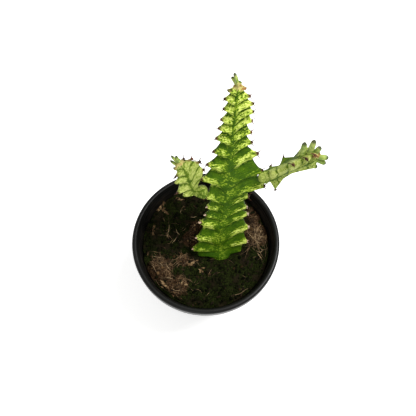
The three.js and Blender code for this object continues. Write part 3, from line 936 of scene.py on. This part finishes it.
left_branch = {
    "curve": bent((-2, 13.5, 149.4), (-12, 12, 143.5), (-7.5, 17, 167.5), (-17.5, 21, 174)), "length": 35,
    "facing": Vector((0, -0.46, 0.89)), "base_radius": 3.4, "spined": (0, 34), "first_rib": 2,
    "front_share": 0.5, "spine_size": 0.9, "lobe_height": 1.0, "dry": 5, "shield_lift": 0.6, "foot_shade": 0,
    "inner_pale": ((0, 0.12), (40, 0.12)),
    "ribs": [
        (-66, [(0, 6.2, 0.4), (6.8, 2.8, 0.6, PLAIN), (12.3, 8, 0.8, KNOB), (16.5, 10.2, 0.9),
               (24, 9.3, 0.9, KNOB), (28.3, 7, 0.9), (32.7, 5, 0.8, KNOB), (34.8, 1.4, 0.7)]),
        (66, [(0, 3.4, 0.8), (8, 3.2, 0.8, PLAIN), (16, 5, 0.8, PLAIN), (25.5, 11.6, 0.9), (29, 11.4, 0.9),
              (31.2, 8.2, 0.8), (33, 4.2, 0.8), (34.8, 1.4, 0.7)]),
        (180, [(0, 3.4, 0.8), (7, 5, 0.8), (12, 8, 0.7), (18, 9, 0.8), (23.5, 9, 0.7), (28.5, 7.5, 0.8),
               (32, 4.5, 0.8), (34.8, 1.4, 0.7)]),
    ],
    "leaves": [(29, (-20, 22, 179), 1.9), (31, (-17.2, 21.6, 179.4), 1.9), (27, (-20.9, 21.1, 174.7), 1.9),
               (25, (-19.6, 20.2, 167.1), 1.9), (32, (-15.7, 21.2, 176.7), 1.9)],
}
right_branch = {
    "curve": bent((36.6, 17.3, 160.1), (48.7, 21.2, 163.7), (54.1, 16.9, 179.9), (65.2, 19.2, 186.4)),
    "length": 39.5, "facing": Vector((-0.18, -0.45, 0.87)), "base_radius": 4.2, "spined": (0, 39),
    "first_rib": 2,
    "front_share": 0.5, "spine_size": 0.9, "lobe_height": 1.0, "dry": 5, "shield_lift": 0.6, "foot_shade": 0,
    "inner_pale": ((0, 0.12), (40, 0.12)),
    "ribs": [
        (0, [(0, 4.2, 0.8), (8, 7.5, 1, PLAIN), (17, 7, 0.9, PLAIN), (26.5, 8.2, 1), (33.5, 6.5, 0.95),
             (37.5, 4.5, 0.8), (39.3, 1.4, 0.7)]),
        (115, [(0, 4.2, 0.6), (2.5, 10.5, 0.6), (9.8, 5.8, 0.7, PLAIN), (17, 4.6, 0.8, PLAIN),
               (24.5, 5.7, 0.8, PLAIN), (31.5, 7, 0.8, PLAIN), (39.3, 1.4, 0.7)]),
        (245, [(0, 4.2, 0.5), (5.5, 5.2, 0.1), (14.8, 7.2, 0.05), (22.5, 4.6, 0.1, PLAIN),
               (28.5, 8, 0.9, PLAIN), (35, 6, 0.9, PLAIN), (39.3, 1.4, 0.7)]),
    ],
    "leaves": [(27, (55.3, 22.5, 193.4), 3.4), (31, (60.3, 22.5, 195.8), 3.4), (34, (64.5, 20.8, 191.3), 3.2),
               (35, (69.8, 16.6, 185.7), 3.2), (34, (69.2, 15.3, 181.2), 3), (29, (65.2, 15, 177), 3),
               (33, (60.1, 23.7, 186.8), 3)],
}
print("branches are", left_branch["length"], "and", right_branch["length"], "mm long")

# %% [markdown]
# Across a stem, each row of the grid runs from groove to edge to groove, three times. A wing is thick at the
# groove and thin at its edge, where a few more columns round it off. Under each tooth the skin swells into a
# lobe. It falls slowly over the shoulder above the tooth and ends in a crease under the next lobe. Noise moves
# each lobe's border a little, so no two lobes are the same.

# %% Rows of a stem
crease_place = 0.62
pale_blur = 0.13
lobe_drop = 0.45
crease_bend = 1.6
flank_steps = 20
cap_steps = 4
rows_per_tooth = 16


def frame_at(stem, along):
    """Middle point, tangent and two directions across a stem."""
    centre, tangent = stem["curve"](along / stem["length"])
    across = (stem["facing"] - tangent * stem["facing"].dot(tangent)).normalized()
    return centre, tangent, across, tangent.cross(across)


def pale_inside(stem, along):
    """How far in from the edge the pale patches begin, as a share of the wing."""
    stops = stem["inner_pale"]
    return float(np.interp(along, [s[0] for s in stops], [s[1] for s in stops]))


def stem_row(stem, phase):
    """One row: for each column its place, and its u, lobe, pale, edge, tip and end values."""
    ribs = stem["ribs"]
    count = len(ribs)
    turns = [math.radians(azimuth) for azimuth, _ in ribs]
    edges = [edge_at(teeth, phase) for _, teeth in ribs]
    grooves = []
    for k in range(count):
        (along, _, full), (next_along, _, next_full) = edges[k], edges[(k + 1) % count]
        middle_along, middle_reach = (along + next_along) / 2, (full + next_full) / 2
        radius = groove_depth(middle_reach, middle_along, stem["base_radius"])
        gap = (turns[(k + 1) % count] - turns[k]) % (2 * math.pi)
        share = stem["front_share"] if k == count - 1 else 0.5
        drop = ridge_slope * max(0, middle_reach - radius) * smooth(middle_along, 0, foot_calm)
        grooves.append((radius, gap * share, gap * (1 - share), middle_along - drop))
    row = []
    for turn in range(count):
        k = (stem["first_rib"] + turn) % count
        along, reach, _ = edges[k]
        teeth = ribs[k][1]
        out = Vector((math.cos(turns[k]), math.sin(turns[k])))
        tip_half = 0.8 + 0.04 * reach
        nearest = min(len(teeth) - 1, round(phase))
        horny = 0 < nearest < len(teeth) - 1 and len(teeth[nearest]) == 3
        tooth_gap = abs(along - teeth[nearest][0]) if horny else 9
        start = pale_inside(stem, along)

        def wing_point(groove, sign, share, cap):
            """share runs 0 to 1 over the flank, and cap 0 to 1 round the edge."""
            radius, turn_to, turn_on, groove_along = groove
            half_turn = turn_to if sign > 0 else turn_on
            width = radius * math.sin(half_turn)
            inner = radius * math.cos(half_turn)
            rounding = min(0.9 * tip_half, 0.3 * max(0.1, reach - inner))
            last = 1 - rounding / max(0.2, reach - inner)
            step = last * share
            here_along = lerp(groove_along, along, 1 - (1 - step) ** crease_bend)
            spot = Vector((k * 9 + sign * (2 + 3 * step), phase * 1.6, stem["length"]))
            since = phase + 0.14 * noise.noise(spot) * (1 - step ** 3) - crease_place
            owner = teeth[max(0, min(len(teeth) - 1, math.floor(since) + 1))]
            since -= math.floor(since)
            lobe = smooth(since, 0, 0.22) * lerp(1, 0.3, smooth(since, 0.3, 1)) * smooth(since, 1.02, 0.9)
            if PLAIN in owner:
                lobe = lerp(lobe, 0.7, 0.6)
            fade = (0.12 + 0.88 * math.sin(math.pi * min(1, step ** 1.3))) * min(1, reach / 9)
            wrinkle = noise.noise(Vector((spot.x, here_along / 1.1, 7)))
            dent = noise.noise(Vector((spot.x * 0.6, here_along / 4, 3)))
            swell = fade * (stem["lobe_height"] * (lobe - lobe_drop) + 0.2 * wrinkle + 0.5 * dent)
            half = max(0.35, tip_half + (width - tip_half) * (1 - step) ** 1.6 + swell)
            distance = lerp(inner, reach, step)
            if cap > 0:
                angle = cap * math.pi / 2
                distance = lerp(distance, reach, math.sin(angle))
                half *= math.cos(angle)
                step = lerp(step, 1, cap)
                here_along = lerp(here_along, along, cap)
            centre, _, across, side = frame_at(stem, here_along)
            x = out.x * distance - sign * out.y * half
            y = out.y * distance + sign * out.x * half
            u = turn + 0.5 + sign * 0.5 * (1 - step)
            tip = math.exp(-((reach - distance) ** 2 + tooth_gap ** 2 * 0.7) / (2 * stem["spine_size"] ** 2))
            pale_end = 0.52 + 0.3 * smooth(here_along, 95, 120) + 0.3 * (stem is not main_stem)
            shown = owner[2] * smooth(step, start - pale_blur, start + pale_blur)
            shown *= smooth(since, pale_end + 0.2, pale_end - 0.1)
            end = smooth(here_along, stem["length"] - stem["dry"], stem["length"] - 0.3 * stem["dry"])
            # Painted shade at the foot: lobe and pale fall to 0 there, so the skin turns deep green.
            outside_foot_shade = smooth(here_along, 0, stem["foot_shade"]) if stem["foot_shade"] else 1
            row.append((*(centre + across * x + side * y), u, lobe * outside_foot_shade, shown * outside_foot_shade, step, tip, end))

        before, after = grooves[k - 1], grooves[k]
        for i in range(flank_steps):
            wing_point(before, -1, i / (flank_steps - 1), 0)
        for i in range(1, cap_steps):
            wing_point(before, -1, 1, i / cap_steps)
        wing_point(after, 1, 1, 1)
        for i in range(cap_steps - 1, 0, -1):
            wing_point(after, 1, 1, i / cap_steps)
        for i in range(flank_steps - 1, 0, -1):
            wing_point(after, 1, i / (flank_steps - 1), 0)
    row.append((*row[0][:3], count, *row[0][4:]))
    return row


# %% Stem meshes
# Each row of the buried stub: how round it is, and how deep in millimetres
stub_rows = [(0.35, 0.3), (0.7, 0.8), (1, 2), (1, 9), (1, 24)]
round_end_angles = (20, 40, 60, 78)


def closing_rows(stem, first):
    """Rows below the first one: the main stem's buried stub, or the round end a branch grows from."""
    centre, tangent = (np.array(v) for v in frame_at(stem, 0)[:2])
    away = first[:, :3] - centre
    places = []
    if stem is main_stem:
        height = away @ tangent
        flat = away - np.outer(height, tangent)
        wide = np.linalg.norm(flat, axis=1, keepdims=True)
        for share, depth in stub_rows:
            rounded = flat * (lerp(wide, stub_radius, share) / wide)
            places.append(centre + rounded + np.outer(lerp(height, 0, share) - depth, tangent))
    else:
        for angle in np.radians(round_end_angles):
            places.append(centre + away * math.cos(angle) - tangent * stem["base_radius"] * math.sin(angle))
    rows = []
    for place in places:
        row = first.copy()
        row[:, :3] = place
        rows.append(row)
    pole = rows[-1].copy()
    pole[:, :3] = rows[-1][:-1, :3].mean(axis=0)
    return [pole, *rows[::-1]]


def stem_mesh(name, stem):
    last = len(stem["ribs"][0][1]) - 1
    rows = [np.array(stem_row(stem, i / rows_per_tooth)) for i in range(last * rows_per_tooth + 1)]
    below = closing_rows(stem, rows[0])
    pole = rows[-1].copy()
    pole[:, :3] = np.array(frame_at(stem, stem["ribs"][0][1][-1][0])[0]) + np.array(stem_axis) * 0.4
    table = np.array([*below, *rows, pole])
    mean_along = [np.mean([edge_at(teeth, i / rows_per_tooth)[0] for _, teeth in stem["ribs"]])
                  for i in range(last * rows_per_tooth + 1)]
    heights = np.array([*np.linspace(-8, -1, len(below)), *mean_along, mean_along[-1] + 1])
    uvs = np.stack([table[:, :, 3], np.repeat(heights[:, None], table.shape[1], 1) / 50], axis=-1)
    measures = {title: table[:, :, i] for i, title in enumerate(("lobe", "pale", "edge", "tip", "end"), 4)}
    return wrapped_grid(name, table[:, :, :3], uvs, measures)


trunk = stem_mesh("main_stem", main_stem)
young_left = stem_mesh("left_branch", left_branch)
young_right = stem_mesh("right_branch", right_branch)
for piece in (trunk, young_left, young_right):
    print(piece.name, "has", len(piece.data.polygons), "faces")

# %% [markdown]
# The skin is green where the wing is plain and yellow-green on the ridges, in streaks that run along each
# ridge. The UV map runs from groove to groove across and up the stem, so noise stretched along U gives those
# streaks. The attributes say where a point is: how high on its ridge, how pale that ridge is, how far out on
# the wing, how near a tooth's tip, and how near the dry growing end.

# %% Succulent skin
def succulent_skin(name, deep, green, pale, cream, speckle, crease_shade, contrast):
    finish = Finish(name, Specular_IOR_Level=0.08)
    chart = finish.node("ShaderNodeUVMap")
    place = finish.object_place()
    streak = finish.step(finish.cloud(finish.stretched(chart, (9, 70, 1)), 1, 3, 0.6), 0.33, 0.67)
    fleck = finish.step(finish.cloud(place, 900, 2), 0.35, 0.65)
    patch = finish.step(finish.cloud(place, 180, 3), 0.35, 0.65)
    fine = finish.cloud(place, 1800, 3)
    lobe, shown = finish.attribute("lobe"), finish.attribute("pale")
    edge, tip, end = finish.attribute("edge"), finish.attribute("tip"), finish.attribute("end")
    mottle = (1.15 * (streak - 0.5) + 0.6 * (fleck - 0.5) + 0.45 * (patch - 0.5)) * contrast
    wave = shown + mottle * finish.step(shown, -0.3, 0.4)
    base = finish.mix(0.5 * patch + 0.5 * streak, deep, green)
    dots = finish.step(fleck + 0.5 * patch, 1.0, 1.25) * finish.step(edge, 0.5, 0.1)
    colour = finish.mix(dots * speckle, base, pale)
    colour = finish.mix(finish.step(wave, 0.28, 0.55), colour, pale)
    colour = finish.mix(finish.step(wave, 0.75, 1.15), colour, cream)
    veins = finish.cloud(finish.stretched(chart, (16, 110, 1)), 1, 2, 0.6)
    colour = finish.mix(finish.step(veins, 0.52, 0.62) * 0.45, colour, green)
    # Painted shade: where the lobe value is low, in the creases between lobes, the colour is pulled towards the
    # deep green.
    colour = finish.mix(finish.step(lobe, 0.45, 0.0) * finish.step(edge, -0.2, 0.4) * crease_shade, colour, deep)
    rim = finish.step(edge, 0.965, 1.0) * finish.step(shown, 0.3, 0.0)
    colour = finish.mix(rim * 0.6, colour, (0.03, 0.02, 0.008))
    colour = finish.mix(finish.step(tip, 0.7, 1.0) * 0.8, colour, (0.12, 0.06, 0.03))
    dry = finish.mix(finish.step(patch + 0.4 * fleck, 0.95, 1.2), (0.52, 0.44, 0.16), (0.3, 0.09, 0.035))
    dried = finish.step(end + 0.9 * (patch - 0.5) + 0.3 * (fleck - 0.5), 0.55, 0.9)
    colour = finish.mix(dried * 0.8, colour, dry)
    height = fine + 0.7 * streak + 0.5 * fleck
    return finish.skin_feeds(Base_Color=colour, Roughness=0.45 + 0.1 * patch + 0.08 * fine,
                             Normal=finish.bump(height, 0.6, 0.0005))


old_skin = succulent_skin("mature stem skin", (0.022, 0.07, 0.001), (0.075, 0.16, 0.002), (0.33, 0.46, 0.034),
                          (0.68, 0.78, 0.17), 0.8, 0.65, 1.0)
young_skin = succulent_skin("young stem skin", (0.035, 0.085, 0.003), (0.12, 0.19, 0.01), (0.31, 0.39, 0.07),
                            (0.5, 0.56, 0.15), 0.2, 0.35, 0.6)
dress(trunk, "trunk", "stem", old_skin)
dress(young_left, "branch_left", "young_stem", young_skin)
dress(young_right, "branch_right", "young_stem", young_skin)
print("stems are dressed")

# %% [markdown]
# ## Spines
# Each tooth ends in a small horny shield that carries two spines, spread at a slant across the wing's edge. The
# spines are thin cones. Old teeth at the foot of the stem have lost theirs, and only pale stumps are left.

# %% A pair of spines
spine_length = 2.6
spine_sink = 1.4
spine_spread = 0.75


def smooth_ball(radius, stretch, place):
    bpy.ops.object.select_all(action="DESELECT")
    bpy.ops.mesh.primitive_uv_sphere_add(segments=12, ring_count=8, radius=radius)
    piece = bpy.context.object
    piece.data.transform(Matrix.Translation(place) @ Matrix.Diagonal((*stretch, 1)))
    bpy.ops.object.shade_smooth()
    return piece


def thorn(sign, length, thickness, bend):
    """A spine that leans to one side and bends up a little. X is across the wing, Y up the stem, Z outwards."""
    bpy.ops.object.select_all(action="DESELECT")
    bpy.ops.mesh.primitive_cone_add(vertices=8, radius1=thickness, radius2=0.15, depth=length)
    piece = bpy.context.object
    bpy.ops.object.mode_set(mode="EDIT")
    bpy.ops.mesh.select_all(action="SELECT")
    bpy.ops.mesh.subdivide(number_cuts=3)
    bpy.ops.object.mode_set(mode="OBJECT")
    lean = Vector((0, 0, 1)).rotation_difference(Vector((sign * spine_spread, 0, 1))).to_matrix().to_4x4()
    for vertex in piece.data.vertices:
        vertex.co.z += length / 2
        vertex.co.y += bend * (vertex.co.z / length) ** 2
    piece.data.transform(Matrix.Translation((sign * 0.35, 0, -spine_sink)) @ lean)
    bpy.ops.object.shade_smooth()
    return piece


spine_pair = joined([smooth_ball(1.0, (1.0, 0.85, 0.9), (0, 0.1, -0.4)),
                     thorn(-1, spine_length + spine_sink, 0.45, 0.3),
                     thorn(1, spine_length + spine_sink, 0.45, 0.3)], "spine_pair")
stump_pair = joined([smooth_ball(0.5, (1, 1, 1.7), (-0.65, 0, -0.2)),
                     smooth_ball(0.5, (1, 1, 1.7), (0.65, 0, -0.2)),
                     smooth_ball(0.85, (1.1, 0.8, 0.8), (0, 0, -0.8))], "stump_pair")
print("a pair of spines has", len(spine_pair.data.polygons), "faces")


# %% Spines on every tooth
def tooth_matrix(stem, azimuth, along, reach):
    centre, tangent, across, side = frame_at(stem, along)
    out = across * math.cos(math.radians(azimuth)) + side * math.sin(math.radians(azimuth))
    lateral = tangent.cross(out)
    turn = Matrix((lateral, tangent, out)).transposed().to_4x4()
    return Matrix.Scale(MM, 4) @ Matrix.Translation(centre + out * reach) @ turn


def spines_of(name, stem):
    pieces = []
    for azimuth, teeth in stem["ribs"]:
        for along, reach, _, *kind in teeth[1:-1]:
            if along >= stem["spined"][1] or kind:
                continue
            worn = along < stem["spined"][0]
            size = draw.uniform(0.8, 1.0) * stem["spine_size"] * lerp(1, 0.7, smooth(along, 95, 130))
            twist = Matrix.Rotation(draw.uniform(0.4, 1.2), 4, "Z") @ Matrix.Scale(size, 4)
            source = stump_pair if worn else spine_pair
            tone = draw.uniform(0.6, 0.85) if worn else draw.uniform(0.0, 0.3)
            place = tooth_matrix(stem, azimuth, along, reach + stem["shield_lift"])
            pieces.append(toned(copied(source, place @ twist), tone))
    return joined(pieces, name)


trunk_spines = spines_of("main_stem_spines", main_stem)
left_spines = spines_of("left_branch_spines", left_branch)
right_spines = spines_of("right_branch_spines", right_branch)
bpy.data.objects.remove(spine_pair)
bpy.data.objects.remove(stump_pair)
print("main stem's spines have", len(trunk_spines.data.polygons), "faces")


# %% Spine finish
def horn():
    finish = Finish("horny spines", Specular_IOR_Level=0.15)
    place = finish.object_place()
    fine = finish.cloud(place, 900, 3)
    tone = finish.attribute("tone")
    colour = finish.ramp(tone + 0.35 * (fine - 0.5), (0.0, (0.02, 0.007, 0.004)), (0.3, (0.12, 0.045, 0.022)),
                         (0.6, (0.42, 0.26, 0.16)), (1.0, (0.72, 0.6, 0.46)))
    return finish.skin_feeds(Base_Color=colour, Roughness=0.45 + 0.25 * fine,
                             Normal=finish.bump(fine, 0.3, 0.0002))


horn_finish = horn()
dress(trunk_spines, None, "stem", horn_finish)
dress(left_spines, None, "young_stem", horn_finish)
dress(right_spines, None, "young_stem", horn_finish)

# %% [markdown]
# ## Leaves
# The growing tips still carry tiny finger-like leaves. One finger is a ball, stretched from its root on the
# stem's middle line to its rounded tip, and flattened. Its material darkens towards the tip.

# %% Finger leaves
leaf_thickness = 2.0


def finger(stem, along, tip, width):
    bpy.ops.object.select_all(action="DESELECT")
    bpy.ops.mesh.primitive_uv_sphere_add(segments=16, ring_count=20, radius=1)
    piece = bpy.context.object
    root = frame_at(stem, along)[0]
    reach = Vector(tip) - root
    direction = reach.normalized()
    flat = stem["facing"].cross(direction).normalized()
    thick = direction.cross(flat)
    shares = []
    for vertex in piece.data.vertices:
        x, y, z = vertex.co
        at = (z + 1) / 2
        ring = max(1e-6, math.hypot(x, y))
        spread = 0.55 + 0.45 * math.sin(math.pi * min(1, at * 0.8)) - 0.4 * at ** 14
        spread *= min(1, ring / 0.35) if at < 0.5 else min(1, ring / 0.55)
        bow = 0.35 * math.sin(math.pi * at)
        vertex.co = (root + direction * (at * reach.length) + flat * (spread * width / 2 * x / ring)
                     + thick * (spread * leaf_thickness / 2 * y / ring + bow)) * MM
        shares.append(at)
    piece.data.attributes.new("at", "FLOAT", "POINT").data.foreach_set("value", shares)
    bpy.ops.object.shade_smooth()
    return piece


def leaves_of(name, stem):
    return joined([finger(stem, *leaf) for leaf in stem["leaves"]], name)


trunk_leaves = leaves_of("main_stem_leaves", main_stem)
left_leaves = leaves_of("left_branch_leaves", left_branch)
right_leaves = leaves_of("right_branch_leaves", right_branch)


# %% Leaf finish
def leaf_skin():
    finish = Finish("finger leaf skin", Specular_IOR_Level=0.4)
    place = finish.object_place()
    patch = finish.cloud(place, 350, 3)
    at = finish.attribute("at")
    colour = finish.mix(finish.step(patch, 0.4, 0.62), (0.16, 0.25, 0.03), (0.38, 0.46, 0.1))
    colour = finish.mix(finish.step(at + 0.1 * (patch - 0.5), 0.8, 0.93) * 0.9, colour, (0.03, 0.035, 0.012))
    return finish.skin_feeds(Base_Color=colour, Roughness=0.42 + 0.15 * patch,
                             Normal=finish.bump(patch, 0.3, 0.0003))


leaf_finish = leaf_skin()
dress(trunk_leaves, None, "stem", leaf_finish)
dress(left_leaves, None, "young_stem", leaf_finish)
dress(right_leaves, None, "young_stem", leaf_finish)

# %% [markdown]
# ## Last update
# The view layer is updated, so that every piece's place is current. The dressed plant has to fill the same
# box as the solid model.

# %% Finish
bpy.context.view_layer.update()
